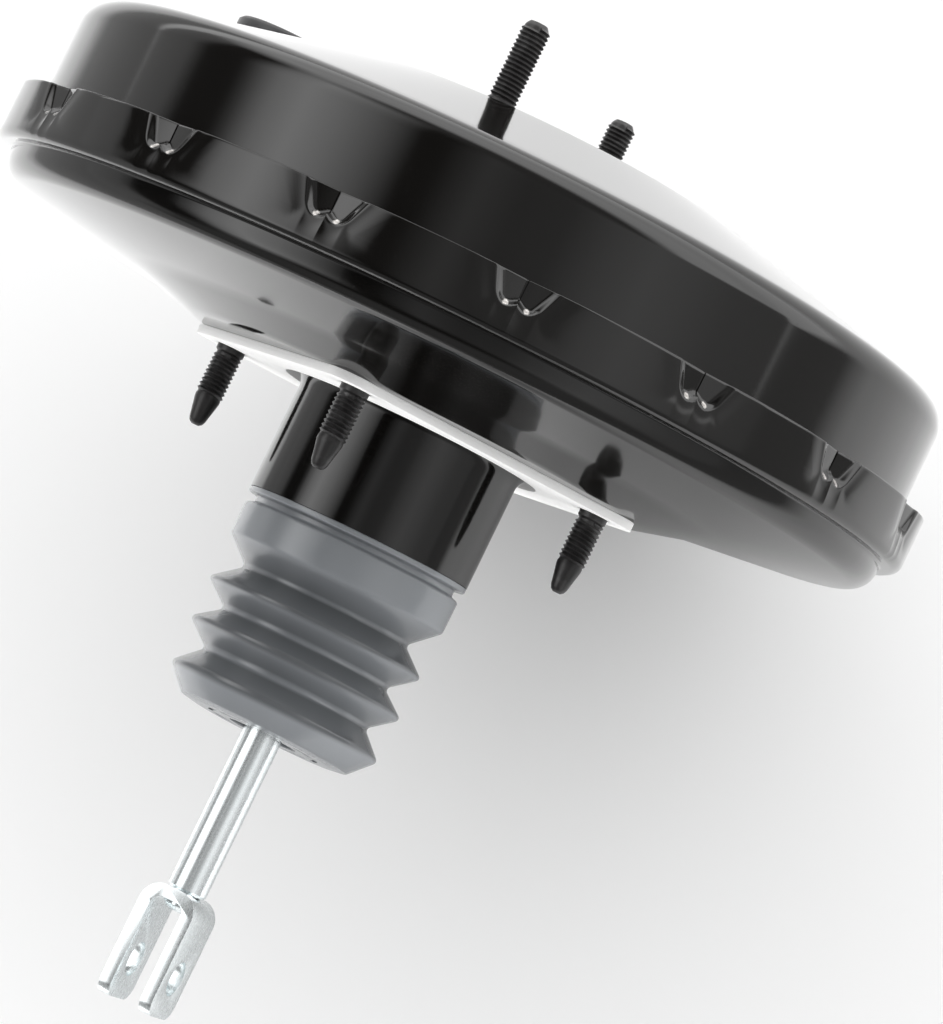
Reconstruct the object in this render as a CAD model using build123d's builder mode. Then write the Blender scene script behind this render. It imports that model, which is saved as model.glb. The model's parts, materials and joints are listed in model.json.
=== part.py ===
"""Vacuum brake booster, single diaphragm, with its pushrod and clevis.

The axis of the booster is +X, towards the master cylinder, and the pedal side is -X.
The origin is on that axis, in the outer face of the mounting gasket, where the booster
meets the firewall. +Z is up, and the clevis pin lies along Y. All sizes are millimetres.
"""

from build123d import *
from math import cos, radians, sin
import os

# Driving dimensions -------------------------------------------------------------------

# Shells, drawn from one gauge of sheet
SHEET = 2.0
DRUM_R = 128.3
SKIRT_R = 135.0
BEAD_R = 129.6
SKIRT_FRONT = 37.4
SKIRT_REAR = 21.4
SEAT_X = 2.5
SEAT_R = 66.0
SHOULDER = (65.1, DRUM_R)
FACE_X = 83.7
FACE_R = 60.0
NECK_R = 32.3
NECK_END = -32.0

# Lanced crimps that lock the skirt over the front shell's flange
CRIMPS = 16
CRIMP_TOP_W = 19.0
CRIMP_FOOT_W = 11.0
CRIMP_FOOT_X = 28.4
CRIMP_DEPTH = 3.7
LUG = 1.8

# Studs: four to the firewall, two to the master cylinder
STUD_R = 4.0
SHANK_R = 4.25
FIREWALL_PCD = 113.14
FIREWALL_TIP = -23.0
CYLINDER_PCD = 104.0
CYLINDER_TIP = 107.4
HEAD = 3.8

# Master cylinder spigot recess in the front face
SPIGOT_R = 22.0
SPIGOT_DEPTH = 17.7
ROD_HOLE_R = 9.0

# Vacuum check valve, in a flat pad pressed in the front cone
VALVE_RADIUS = 93.5
VALVE_CLOCK = -15.0
NOZZLE_CLOCK = -75.0
PAD_X = 77.0
PAD_R = 19.0

# Power piston
TAIL_R = 21.0
TAIL_END = -88.0
HUB_R = 44.0
BOSS_R = 24.0
BOSS_FRONT = 25.0
PLATE_X = 13.0
PLATE_R = 106.0
PLUNGER_R = 6.0
AIR_SEAT_X = -32.0
RUNNING = 0.05
GAP = 0.3

# Pushrod and clevis
BALL_X = -22.0
BALL_NECK_R = 3.5
BALL_R = 5.5
ROD_R = 5.5
CLEVIS_HOLE_X = -160.0
CLEVIS_END = -171.5
CLEVIS_TOP = -138.0
EAR = 3.4
EAR_W = 20.0
FORK_W = 16.2
PIN_R = 5.0

# Boot
BOOT_WALL = 2.2


def across(x, clock=0.0, radius=0.0):
    """A plane square to the axis at x, seen from the front, moved out along a clock angle from +Y."""
    a = radians(clock)
    return Plane(origin=(x, radius * cos(a), radius * sin(a)), x_dir=(0, 1, 0), z_dir=(1, 0, 0))


def outline(*corners, plane=Plane.XY):
    """The face inside (x, radius) corners, ready to be turned about the plane's own x."""
    with BuildSketch(plane) as face:
        with BuildLine():
            Polyline(*corners, close=True)
        make_face()
    return face.sketch


def section(x0, x1, inner, outer, plane=Plane.XY):
    """The face that turns into a plain ring, or into a disc where inner is zero."""
    return outline((x0, inner), (x1, inner), (x1, outer), (x0, outer), plane=plane)


def sheet_section(points, radii, thickness, side):
    """The face of a pressed sheet of even thickness, on one side of a line of (x, radius) corners."""
    with BuildSketch() as face:
        with BuildLine():
            FilletPolyline(*points, radius=radii)
            offset(amount=thickness, side=side)
        make_face()
    return face.sketch


def turned(face, axis=Axis.X):
    """A piece turned in one from a single face."""
    with BuildPart() as piece:
        revolve(face, axis=axis)
    return piece.part


def coil(x0, x1, radius, wire, turns):
    """A compression spring of round wire about the axis, between x0 and x1."""
    height = x1 - x0 - wire
    with BuildPart() as spring:
        with BuildLine() as path:
            Helix(height / turns, height, radius, center=(x0 + wire / 2, 0, 0), direction=(1, 0, 0))
        with BuildSketch(Plane(origin=path.line @ 0, z_dir=path.line % 0)):
            Circle(wire / 2)
        sweep(is_frenet=True)
    return spring.part


def save(piece, label):
    """Names a finished piece and writes it as its own STEP file."""
    piece.label = label
    export_step(piece, f"parts/{label}.step")


os.makedirs("parts", exist_ok=True)

# Places worked out from the driving dimensions
FLANGE_X = 27.6
FLANGE_R = SKIRT_R - SHEET - 0.4
CONE_RIM_X = 14.0
CONE_KNEE_X = 7.8
CONE_KNEE_R = 85.0
LUG_ROOT_R = SKIRT_R - 0.2
LUG_FOOT_X = FLANGE_X + 0.05
FIREWALL_R = FIREWALL_PCD / 2
CYLINDER_R = CYLINDER_PCD / 2
RECESS_X = FACE_X - SPIGOT_DEPTH
INNER_FACE = FACE_X - SHEET
INNER_SEAT = SEAT_X + SHEET
STUD_PLATE_T = 2.0
HEAD_R = 6.0
GASKET_R = 65.0
GASKET_HOLE_R = 37.4
GROMMET_R = 10.0
OUTPUT_R = 6.0
NECK_BORE = NECK_R - SHEET


def crimp_corners(grow):
    """The tapered window of one crimp, as (x, y) corners on the skirt."""
    foot = CRIMP_FOOT_W / 2 + grow
    top = CRIMP_TOP_W / 2 + grow
    low = CRIMP_FOOT_X - 3 * grow
    high = SKIRT_FRONT + 0.01
    return [(low, -foot), (low, foot), (high, top), (high, -top)]


# Front shell: a deep drawn cup with a turned-out flange, a coned face and a spigot recess ---

front_line = [
    (FLANGE_X, FLANGE_R),
    (FLANGE_X, DRUM_R),
    SHOULDER,
    (FACE_X, FACE_R),
    (FACE_X, SPIGOT_R),
    (RECESS_X, SPIGOT_R),
    (RECESS_X, ROD_HOLE_R),
]
front_radii = [1.2, 8.0, 14.0, 1.5, 2.2]

with BuildPart() as front_cavity:
    with BuildSketch():
        with BuildLine():
            FilletPolyline(*front_line, radius=front_radii)
            offset(amount=SHEET, side=Side.RIGHT, closed=False)
            Polyline(
                (RECESS_X - SHEET, ROD_HOLE_R),
                (0, ROD_HOLE_R),
                (0, FLANGE_R),
                (FLANGE_X - SHEET, FLANGE_R),
            )
        make_face()
    revolve(axis=Axis.X)
    # The pad for the check valve is a flat-bottomed cup let into the cone
    with BuildSketch(across(PAD_X - SHEET, VALVE_CLOCK, VALVE_RADIUS)):
        Circle(PAD_R)
    extrude(amount=20, mode=Mode.SUBTRACT)
    with BuildSketch(across(PAD_X - SHEET, VALVE_CLOCK, VALVE_RADIUS)):
        Circle(PAD_R - SHEET)
    extrude(amount=-14)

with BuildPart() as front_shell:
    with BuildSketch():
        with BuildLine():
            FilletPolyline(*front_line, radius=front_radii)
            Polyline(
                (RECESS_X, ROD_HOLE_R),
                (FLANGE_X - SHEET, ROD_HOLE_R),
                (FLANGE_X - SHEET, FLANGE_R),
                (FLANGE_X, FLANGE_R),
            )
        make_face()
    revolve(axis=Axis.X)
    with BuildSketch(across(PAD_X, VALVE_CLOCK, VALVE_RADIUS)):
        Circle(PAD_R)
    extrude(amount=-14)
    with BuildSketch(across(PAD_X, VALVE_CLOCK, VALVE_RADIUS)):
        Circle(PAD_R)
    extrude(amount=20, mode=Mode.SUBTRACT)
    add(front_cavity.part, mode=Mode.SUBTRACT)
    with BuildSketch(across(PAD_X, VALVE_CLOCK, VALVE_RADIUS)):
        Circle(GROMMET_R)
    extrude(amount=2 * SHEET, both=True, mode=Mode.SUBTRACT)
    with BuildSketch(across(FACE_X)):
        with PolarLocations(CYLINDER_R, 2, start_angle=90):
            Circle(SHANK_R + RUNNING)
    extrude(amount=2 * SHEET, both=True, mode=Mode.SUBTRACT)
save(front_shell.part, "front_shell")

# Rear shell: domed cone, bead and skirt, with the neck drawn from the same sheet ----------

rear_line = [
    (SKIRT_FRONT, SKIRT_R),
    (SKIRT_REAR, SKIRT_R),
    (SKIRT_REAR, BEAD_R),
    (CONE_RIM_X, BEAD_R),
    (CONE_KNEE_X, CONE_KNEE_R),
    (SEAT_X, SEAT_R),
    (SEAT_X, NECK_R),
    (NECK_END, NECK_R),
]
rear_radii = [2.6, 0.8, 6.5, 60.0, 20.0, 5.0]

# One crimp site, at the top of the skirt: two lugs cut free and pushed in to a vee
with BuildPart() as crimp_lugs:
    with BuildSketch(across(LUG_FOOT_X)):
        with BuildLine():
            Polyline(
                (0.4, LUG_ROOT_R - CRIMP_DEPTH - LUG),
                (CRIMP_TOP_W / 2, LUG_ROOT_R - LUG),
                (CRIMP_TOP_W / 2, LUG_ROOT_R),
                (0.4, LUG_ROOT_R - CRIMP_DEPTH),
                close=True,
            )
        make_face()
        mirror(about=Plane.YZ)
    extrude(amount=SKIRT_FRONT - LUG_FOOT_X)
    with BuildSketch(Plane.XY.offset(SKIRT_R - 10)):
        with BuildLine():
            Polyline(*crimp_corners(0.3), close=True)
        make_face()
    extrude(amount=20, mode=Mode.INTERSECT)

with BuildPart() as crimp_cut:
    with BuildSketch(Plane.XY.offset(SKIRT_R - 6)):
        with BuildLine():
            Polyline(*crimp_corners(0.0), close=True)
        make_face()
    extrude(amount=12)

with BuildPart() as rear_shell:
    revolve(sheet_section(rear_line, rear_radii, SHEET, Side.LEFT), axis=Axis.X)
    for site in range(CRIMPS):
        add(crimp_cut.part.rotate(Axis.X, site * 360 / CRIMPS), mode=Mode.SUBTRACT)
    for site in range(CRIMPS):
        add(crimp_lugs.part.rotate(Axis.X, site * 360 / CRIMPS))
    with BuildSketch(across(SEAT_X)):
        with PolarLocations(FIREWALL_R, 4):
            Circle(SHANK_R + RUNNING)
    extrude(amount=2 * SHEET, both=True, mode=Mode.SUBTRACT)
save(rear_shell.part, "rear_shell")

# Mounting gasket, stud plates and studs --------------------------------------------------

with BuildPart() as mounting_gasket:
    with BuildSketch(across(0)):
        Circle(GASKET_R)
        Circle(GASKET_HOLE_R, mode=Mode.SUBTRACT)
        with PolarLocations(FIREWALL_R, 4):
            Circle(SHANK_R + GAP, mode=Mode.SUBTRACT)
    extrude(amount=SEAT_X)
save(mounting_gasket.part, "mounting_gasket")


def stud_plate(x, inner, outer, pitch_r, count, start):
    """A flat ring that spreads the load of the studs behind a shell."""
    with BuildPart() as plate:
        with BuildSketch(across(x)):
            Circle(outer)
            Circle(inner, mode=Mode.SUBTRACT)
            with PolarLocations(pitch_r, count, start_angle=start):
                Circle(SHANK_R + RUNNING, mode=Mode.SUBTRACT)
        extrude(amount=STUD_PLATE_T)
    return plate.part


def studs(head_x, face_x, tip_x, tip_r, taper, pitch_r, count, start):
    """Headed studs about the axis, with a press-in shank from the head to face_x, then the thread."""
    way = 1 if tip_x > head_x else -1
    stud_face = outline(
        (head_x - way * HEAD, 0),
        (head_x - way * HEAD, HEAD_R - 0.6),
        (head_x - way * (HEAD - 0.6), HEAD_R),
        (head_x, HEAD_R),
        (head_x, SHANK_R),
        (face_x, SHANK_R),
        (face_x, STUD_R),
        (tip_x - way * taper, STUD_R),
        (tip_x - way * 1.2, tip_r),
        (tip_x, tip_r - 0.8),
        (tip_x, 0),
    )
    stud = turned(stud_face)
    with BuildPart() as group:
        for k in range(count):
            a = radians(start + k * 360 / count)
            add(stud.moved(Location((0, pitch_r * cos(a), pitch_r * sin(a)))))
    return group.part


save(stud_plate(INNER_SEAT, 36.0, 62.8, FIREWALL_R, 4, 0), "firewall_stud_plate")
save(
    studs(INNER_SEAT + STUD_PLATE_T, 0, FIREWALL_TIP, 2.3, 7.5, FIREWALL_R, 4, 0),
    "firewall_studs",
)
save(
    stud_plate(INNER_FACE - STUD_PLATE_T, 26.0, 58.0, CYLINDER_R, 2, 90),
    "master_cylinder_stud_plate",
)
save(
    studs(INNER_FACE - STUD_PLATE_T, FACE_X, CYLINDER_TIP, 3.2, 1.8, CYLINDER_R, 2, 90),
    "master_cylinder_studs",
)

# Seals and guides that stay with the shells ----------------------------------------------

SEAL_END = RECESS_X + 6.0

front_seal_face = outline(
    (RECESS_X, OUTPUT_R + 0.1),
    (RECESS_X + 2.5, OUTPUT_R + 0.1),
    (RECESS_X + 4.0, OUTPUT_R + 2.5),
    (RECESS_X + 4.0, SPIGOT_R - 4.0),
    (SEAL_END, SPIGOT_R - 4.0),
    (SEAL_END, SPIGOT_R - 0.05),
    (RECESS_X + 2.3, SPIGOT_R - 0.05),
    (RECESS_X, SPIGOT_R - 2.4),
)
save(turned(front_seal_face), "front_seal")

retainer_face = section(SEAL_END, SEAL_END + 1.2, SPIGOT_R - 8.0, SPIGOT_R - 0.05)
save(turned(retainer_face), "front_seal_retainer")

neck_seal_face = outline(
    (-27.0, TAIL_R + RUNNING),
    (-25.2, TAIL_R + RUNNING),
    (-24.0, TAIL_R + 2.2),
    (-20.0, TAIL_R + 2.2),
    (-19.0, TAIL_R + RUNNING),
    (-18.0, TAIL_R + RUNNING),
    (-16.5, TAIL_R + 3.4),
    (-19.5, TAIL_R + 5.6),
    (-23.0, NECK_BORE - 2.0),
    (-20.0, NECK_BORE - 2.0),
    (-20.0, NECK_BORE),
    (-27.0, NECK_BORE),
)
save(turned(neck_seal_face), "neck_seal")

with BuildPart() as neck_bearing:
    revolve(section(-29.3, -27.0, TAIL_R + RUNNING, NECK_BORE), axis=Axis.X)
    with BuildSketch(across(-29.3)):
        with PolarLocations(TAIL_R + 5.0, 12):
            Circle(1.9)
    extrude(amount=1.6, mode=Mode.SUBTRACT)
save(neck_bearing.part, "neck_bearing")

# Check valve: a swivelling elbow in a rubber grommet, with a flap and its spring ------------

CAP_X0 = PAD_X + 2.2
CAP_X1 = 87.6
CAP_R = 15.5
STEM_R = 6.5
STEM_END = PAD_X - 6.0
NOZZLE_X = 82.6
NOZZLE_R = 5.0
NOZZLE_BORE = 3.1
NOZZLE_LENGTH = 34.0
BARB_R = 5.6
BARB_LAND = (29.0, 31.0)
CHAMBER_R = 7.2
FLAP_X = 80.6
valve_centre = across(0, VALVE_CLOCK, VALVE_RADIUS).origin
nozzle_way = across(0, NOZZLE_CLOCK, 1.0).origin
nozzle_centre = (NOZZLE_X, valve_centre.Y, valve_centre.Z)
valve_plane = Plane(origin=valve_centre, x_dir=(1, 0, 0), z_dir=(0, 0, 1))
valve_axis = Axis(valve_centre, (1, 0, 0))
# Drawn along the nozzle: x is the distance from the valve's axis, y the nozzle's own radius
nozzle_plane = Plane(origin=nozzle_centre, x_dir=nozzle_way, z_dir=(1, 0, 0))
nozzle_axis = Axis(nozzle_centre, nozzle_way)

check_valve_grommet_face = outline(
    (PAD_X - SHEET - 3.0, STEM_R + 0.02),
    (PAD_X + 2.0, STEM_R + 0.02),
    (PAD_X + 2.0, GROMMET_R + 2.4),
    (PAD_X + 1.4, GROMMET_R + 3.0),
    (PAD_X, GROMMET_R + 3.0),
    (PAD_X, GROMMET_R),
    (PAD_X - SHEET, GROMMET_R),
    (PAD_X - SHEET, GROMMET_R + 2.4),
    (PAD_X - SHEET - 3.0, GROMMET_R + 1.0),
    plane=valve_plane,
)
save(turned(check_valve_grommet_face, valve_axis), "check_valve_grommet")

cap_face = outline(
    (STEM_END, 0),
    (STEM_END, STEM_R - 0.8),
    (STEM_END + 1.5, STEM_R),
    (CAP_X0, STEM_R),
    (CAP_X0, CAP_R - 0.6),
    (CAP_X0 + 0.6, CAP_R),
    (CAP_X1 - 1.0, CAP_R),
    (CAP_X1, CAP_R - 1.0),
    (CAP_X1, 0),
    plane=valve_plane,
)
nozzle_face = outline(
    (CAP_R - 1.5, 0),
    (CAP_R - 1.5, NOZZLE_R),
    (BARB_LAND[0] - 0.4, NOZZLE_R),
    (BARB_LAND[0], BARB_R),
    (BARB_LAND[1], BARB_R),
    (NOZZLE_LENGTH, NOZZLE_R - 0.6),
    (NOZZLE_LENGTH, 0),
    plane=nozzle_plane,
)
inlet_face = section(STEM_END - 1, FLAP_X + 0.2, 0, 3.2, valve_plane)
chamber_face = section(FLAP_X, CAP_X1 - 1.8, 0, CHAMBER_R, valve_plane)
outlet_face = section(0, NOZZLE_LENGTH + 1, 0, NOZZLE_BORE, nozzle_plane)

with BuildPart() as check_valve_body:
    revolve(cap_face, axis=valve_axis)
    revolve(nozzle_face, axis=nozzle_axis)
    revolve(inlet_face, axis=valve_axis, mode=Mode.SUBTRACT)
    revolve(chamber_face, axis=valve_axis, mode=Mode.SUBTRACT)
    revolve(outlet_face, axis=nozzle_axis, mode=Mode.SUBTRACT)
save(check_valve_body.part, "check_valve_body")

flap_face = section(FLAP_X + 0.05, FLAP_X + 1.4, 0, CHAMBER_R - 0.6, valve_plane)
save(turned(flap_face, valve_axis), "check_valve_flap")
flap_spring = coil(FLAP_X + 1.6, CAP_X1 - 1.85, 4.2, 0.8, 3)
flap_spring = flap_spring.moved(Location((0, valve_centre.Y, valve_centre.Z)))
save(flap_spring, "check_valve_spring")

# Power piston: the moulded valve body, its plate and the rolling diaphragm ------------------

HUB_X0 = 7.6
CHAMBER_BORE = 17.0
TAIL_BORE = 18.3
STEP_X = -48.0
VACUUM_SEAT_X = -31.2
REACTION_X = 14.0
REACTION_R = 13.0
KEY_X0 = -3.5
KEY_T = 3.0
PLATE_T = 1.5

valve_body_face = outline(
    (TAIL_END, TAIL_BORE),
    (TAIL_END, TAIL_R - 0.8),
    (TAIL_END + 0.8, TAIL_R),
    (2.0, TAIL_R),
    (HUB_X0, TAIL_R + 9.0),
    (HUB_X0, HUB_R),
    (PLATE_X, HUB_R),
    (PLATE_X, BOSS_R),
    (BOSS_FRONT, BOSS_R),
    (BOSS_FRONT, REACTION_R),
    (REACTION_X, REACTION_R),
    (REACTION_X, PLUNGER_R + RUNNING),
    (-9.0, PLUNGER_R + RUNNING),
    (-9.0, 11.5),
    (VACUUM_SEAT_X, 12.2),
    (VACUUM_SEAT_X, 13.0),
    (VACUUM_SEAT_X + 2.0, 13.6),
    (VACUUM_SEAT_X + 2.0, CHAMBER_BORE),
    (STEP_X, CHAMBER_BORE),
    (STEP_X, TAIL_BORE),
)

with BuildPart() as valve_body:
    revolve(valve_body_face, axis=Axis.X)
    # Two vacuum passages run forward beside the seat, out to the front chamber
    for start in (35, 215):
        with BuildSketch(across(VACUUM_SEAT_X)):
            SlotArc(CenterArc((0, 0), 15.4, start, 70), 2.6)
        extrude(amount=BOSS_FRONT - VACUUM_SEAT_X + 1, mode=Mode.SUBTRACT)
    # The slot for the stop key opens on +Z
    with BuildSketch(Plane.XY):
        with Locations((KEY_X0 + KEY_T / 2, 0)):
            Rectangle(KEY_T + 0.2, 15.0)
    extrude(amount=TAIL_R + 12, mode=Mode.SUBTRACT)
save(valve_body.part, "valve_body")

with BuildPart() as stop_key:
    with BuildSketch(across(KEY_X0)):
        with Locations((0, 16.0)):
            Rectangle(14.4, 24.0)
        with Locations((0, 4.5)):
            Rectangle(9.6, 12.0, mode=Mode.SUBTRACT)
        with Locations((0, 4.5 + 6.0)):
            Circle(4.8, mode=Mode.SUBTRACT)
    extrude(amount=KEY_T)
save(stop_key.part, "stop_key")

plate_line = [
    (PLATE_X, BOSS_R + 0.1),
    (PLATE_X, 49.0),
    (PLATE_X + 3.5, 56.0),
    (PLATE_X + 3.5, PLATE_R),
    (PLATE_X + 15.0, PLATE_R),
]

save(turned(sheet_section(plate_line, [3.0, 3.0, 5.0], PLATE_T, Side.RIGHT)), "diaphragm_plate")

RUBBER = 1.8
SKIN_X = PLATE_X - GAP
SKIN_R = PLATE_R + GAP
BEAD_X = SKIRT_REAR + SHEET
WALL_R = DRUM_R - SHEET - 1.9
LOBE_X = PLATE_X + 15.0

diaphragm_line = [
    (SKIN_X, HUB_R + GAP),
    (SKIN_X, 49.5),
    (SKIN_X + 3.5, 56.5),
    (SKIN_X + 3.5, SKIN_R),
    (LOBE_X + 8.0, SKIN_R),
    (LOBE_X + 8.0, WALL_R),
    (BEAD_X, WALL_R),
]

with BuildPart() as diaphragm:
    revolve(sheet_section(diaphragm_line, [2.5, 2.5, 5.0, 7.0, 7.0], RUBBER, Side.LEFT), axis=Axis.X)
    # Inner bead round the hub, outer bead clamped between the flange and the skirt's shoulder
    revolve(section(HUB_X0 + GAP, SKIN_X, HUB_R + GAP, HUB_R + GAP + 3.4), axis=Axis.X)
    revolve(section(BEAD_X, FLANGE_X - SHEET, WALL_R - RUBBER, FLANGE_R - 0.4), axis=Axis.X)
    revolve(section(BEAD_X - 3.5, BEAD_X, WALL_R - RUBBER, BEAD_R - SHEET - 0.1), axis=Axis.X)
save(diaphragm.part, "diaphragm")

# Force path: reaction disc, output rod with its adjusting tip, and the return spring ---------

DISC_END = REACTION_X + 6.0
ROD_HEAD_END = DISC_END + 4.0
TIP_END = 84.0

save(turned(section(REACTION_X, DISC_END, 0, REACTION_R - 0.1)), "reaction_disc")

output_rod_face = outline(
    (DISC_END, 0),
    (DISC_END, REACTION_R - 0.1),
    (ROD_HEAD_END, REACTION_R - 0.1),
    (ROD_HEAD_END, OUTPUT_R + 1.5),
    (ROD_HEAD_END + 3.0, OUTPUT_R),
    (75.0, OUTPUT_R),
    (76.0, OUTPUT_R - 1.0),
    (76.0, 3.0),
    (62.0, 3.0),
    (60.0, 0),
)
save(turned(output_rod_face), "output_rod")

with BuildPart() as output_rod_tip:
    with BuildSketch():
        with BuildLine():
            Polyline((TIP_END - 3.6, 3.6), (78.0, 3.6), (76.0, 3.0), (62.0, 3.0), (62.0, 0), (TIP_END, 0))
            RadiusArc((TIP_END - 3.6, 3.6), (TIP_END, 0), 3.6)
        make_face()
    revolve(axis=Axis.X)
    with BuildSketch(across(76.0)):
        RegularPolygon(4.6, 6)
    extrude(amount=2.6)
save(output_rod_tip.part, "output_rod_tip")

with BuildPart() as output_rod_retainer:
    revolve(section(BOSS_FRONT, BOSS_FRONT + 1.2, OUTPUT_R + 2.0, BOSS_R + 1.3), axis=Axis.X)
    revolve(section(BOSS_FRONT - 6.0, BOSS_FRONT, BOSS_R, BOSS_R + 1.3), axis=Axis.X)
    with BuildSketch(across(BOSS_FRONT)):
        with PolarLocations(15.4, 6):
            Circle(2.4)
    extrude(amount=2, mode=Mode.SUBTRACT)
save(output_rod_retainer.part, "output_rod_retainer")

SPRING_X0 = PLATE_X + PLATE_T + 0.1
save(coil(SPRING_X0, INNER_FACE - STUD_PLATE_T, 33.0, 4.0, 5.5), "return_spring")

# Control valve: plunger, poppet and its parts, filter and felt ------------------------------

NOSE_GAP = 1.9
plunger_face = outline(
    (AIR_SEAT_X, 5.0),
    (AIR_SEAT_X, 9.6),
    (AIR_SEAT_X + 2.2, 9.6),
    (AIR_SEAT_X + 4.5, 8.2),
    (-12.5, 8.2),
    (-10.6, PLUNGER_R),
    (KEY_X0 - 1.8, PLUNGER_R),
    (KEY_X0 - 1.8, 4.5),
    (KEY_X0 + KEY_T + 0.1, 4.5),
    (KEY_X0 + KEY_T + 0.1, PLUNGER_R),
    (REACTION_X - NOSE_GAP, PLUNGER_R),
    (REACTION_X - NOSE_GAP, 0),
    (BALL_X + 3.0, 0),
    (BALL_X + 3.0, 4.0),
    (BALL_X, BALL_R + RUNNING),
    (AIR_SEAT_X + 3.5, BALL_R + RUNNING),
    (AIR_SEAT_X + 2.2, 5.0),
)

with BuildPart() as control_plunger:
    revolve(plunger_face, axis=Axis.X)
    with BuildSketch():
        with BuildLine():
            CenterArc((BALL_X, 0), BALL_R + RUNNING, 0, 180)
            Line((BALL_X - BALL_R - RUNNING, 0), (BALL_X + BALL_R + RUNNING, 0))
        make_face()
    revolve(axis=Axis.X, mode=Mode.SUBTRACT)
save(control_plunger.part, "control_plunger")

poppet_valve_face = outline(
    (AIR_SEAT_X - 0.05, 8.3),
    (AIR_SEAT_X - 0.05, 15.0),
    (AIR_SEAT_X - 1.5, 16.2),
    (-40.0, 15.0),
    (-45.5, 16.0),
    (-45.5, CHAMBER_BORE),
    (STEP_X, CHAMBER_BORE),
    (STEP_X, 14.6),
    (-45.0, 14.6),
    (-40.0, 13.6),
    (AIR_SEAT_X - 2.6, 14.6),
    (AIR_SEAT_X - 2.6, 8.3),
)
save(turned(poppet_valve_face), "poppet_valve")

with BuildPart() as poppet_retainer:
    revolve(section(STEP_X - 1.5, STEP_X, 10.4, TAIL_BORE), axis=Axis.X)
    revolve(section(STEP_X - 7.0, STEP_X - 1.5, TAIL_BORE - 1.2, TAIL_BORE), axis=Axis.X)
save(poppet_retainer.part, "poppet_retainer")

save(coil(STEP_X, AIR_SEAT_X - 2.6, 12.0, 1.2, 4), "poppet_spring")

ROD_STEP = -68.0
SEAT_T = 1.6
save(coil(ROD_STEP + SEAT_T + 0.1, STEP_X - 1.5, 12.6, 1.8, 4), "rod_return_spring")
save(turned(section(-73.0, -70.0, 9.6, TAIL_BORE)), "silencer_felt")
save(turned(section(-87.0, -73.0, 9.6, TAIL_BORE)), "air_filter")

# Pushrod side: ball-ended rod, spring seat and the bent clevis ------------------------------

save(turned(section(ROD_STEP, ROD_STEP + SEAT_T, 4.5, 14.2)), "rod_spring_seat")

RIVET_R = 3.5
FORK_FLOOR = CLEVIS_TOP - EAR

with BuildPart() as clevis:
    with BuildSketch():
        with BuildLine():
            FilletPolyline(
                (CLEVIS_END, FORK_W / 2),
                (CLEVIS_TOP, FORK_W / 2),
                (CLEVIS_TOP, -FORK_W / 2),
                (CLEVIS_END, -FORK_W / 2),
                radius=6.0,
            )
            offset(amount=EAR, side=Side.RIGHT)
        make_face()
    extrude(amount=EAR_W / 2, both=True)
    tips = edges().filter_by(Axis.Y).group_by(Axis.X)[0]
    fillet(tips, radius=4.5)
    with BuildSketch(Plane.XZ):
        with Locations((CLEVIS_HOLE_X, 0)):
            Circle(PIN_R)
    extrude(amount=FORK_W, both=True, mode=Mode.SUBTRACT)
    with BuildSketch(across(CLEVIS_TOP - EAR / 2)):
        Circle(RIVET_R)
    extrude(amount=EAR, both=True, mode=Mode.SUBTRACT)
save(clevis.part, "clevis")

with BuildPart() as input_rod:
    with BuildSketch():
        with BuildLine():
            Polyline(
                (BALL_X, 0),
                (BALL_X - 10.0, 0),
                (BALL_X - 10.0, BALL_NECK_R),
                (BALL_X, BALL_NECK_R),
                close=True,
            )
        make_face()
        with BuildLine():
            CenterArc((BALL_X, 0), BALL_R, 0, 180)
            Line((BALL_X - BALL_R, 0), (BALL_X + BALL_R, 0))
        make_face()
        with BuildLine():
            Polyline(
                (BALL_X - 10.0, 0),
                (BALL_X - 10.0, BALL_NECK_R),
                (BALL_X - 14.0, BALL_NECK_R),
                (BALL_X - 16.0, 4.5),
                (ROD_STEP, 4.5),
                (ROD_STEP, ROD_R),
                (CLEVIS_TOP, ROD_R),
                (CLEVIS_TOP, RIVET_R),
                (FORK_FLOOR, RIVET_R),
                (FORK_FLOOR, RIVET_R + 1.0),
                (FORK_FLOOR - 1.6, RIVET_R + 0.8),
                (FORK_FLOOR - 2.6, 0),
                close=True,
            )
        make_face()
    revolve(axis=Axis.X)
    # The end is riveted over, and takes the shape of the fork's floor
    add(clevis.part, mode=Mode.SUBTRACT)
save(input_rod.part, "input_rod")

# Boot: a bellows from the neck's rim to the end of the valve body ----------------------------

boot_folds = [
    (-45.6, 31.5),
    (-52.6, 24.0),
    (-59.1, 31.8),
    (-65.3, 24.0),
    (-71.1, 31.6),
    (-77.2, 24.0),
    (-84.0, 31.0),
]
BOOT_END = -91.2
BOOT_HOLE = 10.0

boot_outer = [
    (-29.6, NECK_BORE - 0.05),
    (NECK_END - GAP / 6, NECK_BORE - 0.05),
    (NECK_END - GAP / 6, NECK_R),
    (-33.5, NECK_R),
    (-33.9, 29.4),
    (-35.8, 29.4),
    (-36.4, 31.7),
    *boot_folds,
    (-90.4, 24.6),
    (BOOT_END, 23.4),
    (BOOT_END, BOOT_HOLE),
]
boot_inner = [
    (TAIL_END - GAP, BOOT_HOLE),
    (TAIL_END - GAP, TAIL_R + GAP),
    (-85.6, TAIL_R + GAP),
    *[(x, r - BOOT_WALL) for x, r in reversed(boot_folds)],
    (-38.0, 29.3),
    (-37.0, 27.2),
    (-29.6, 27.2),
]

with BuildPart() as boot:
    revolve(outline(*boot_outer, *boot_inner), axis=Axis.X)
    # Breather slits in the end, round the rod
    with BuildSketch(across(BOOT_END)):
        for k in range(8):
            SlotArc(CenterArc((0, 0), 15.5, k * 45 + 8, 29), 2.0)
    extrude(amount=6, mode=Mode.SUBTRACT)
save(boot.part, "boot")
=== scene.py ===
import json
from cmath import phase, rect
from math import cos, exp, pi, radians, sin, tan

import bmesh
import bpy
from mathutils import Matrix, Vector

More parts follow.
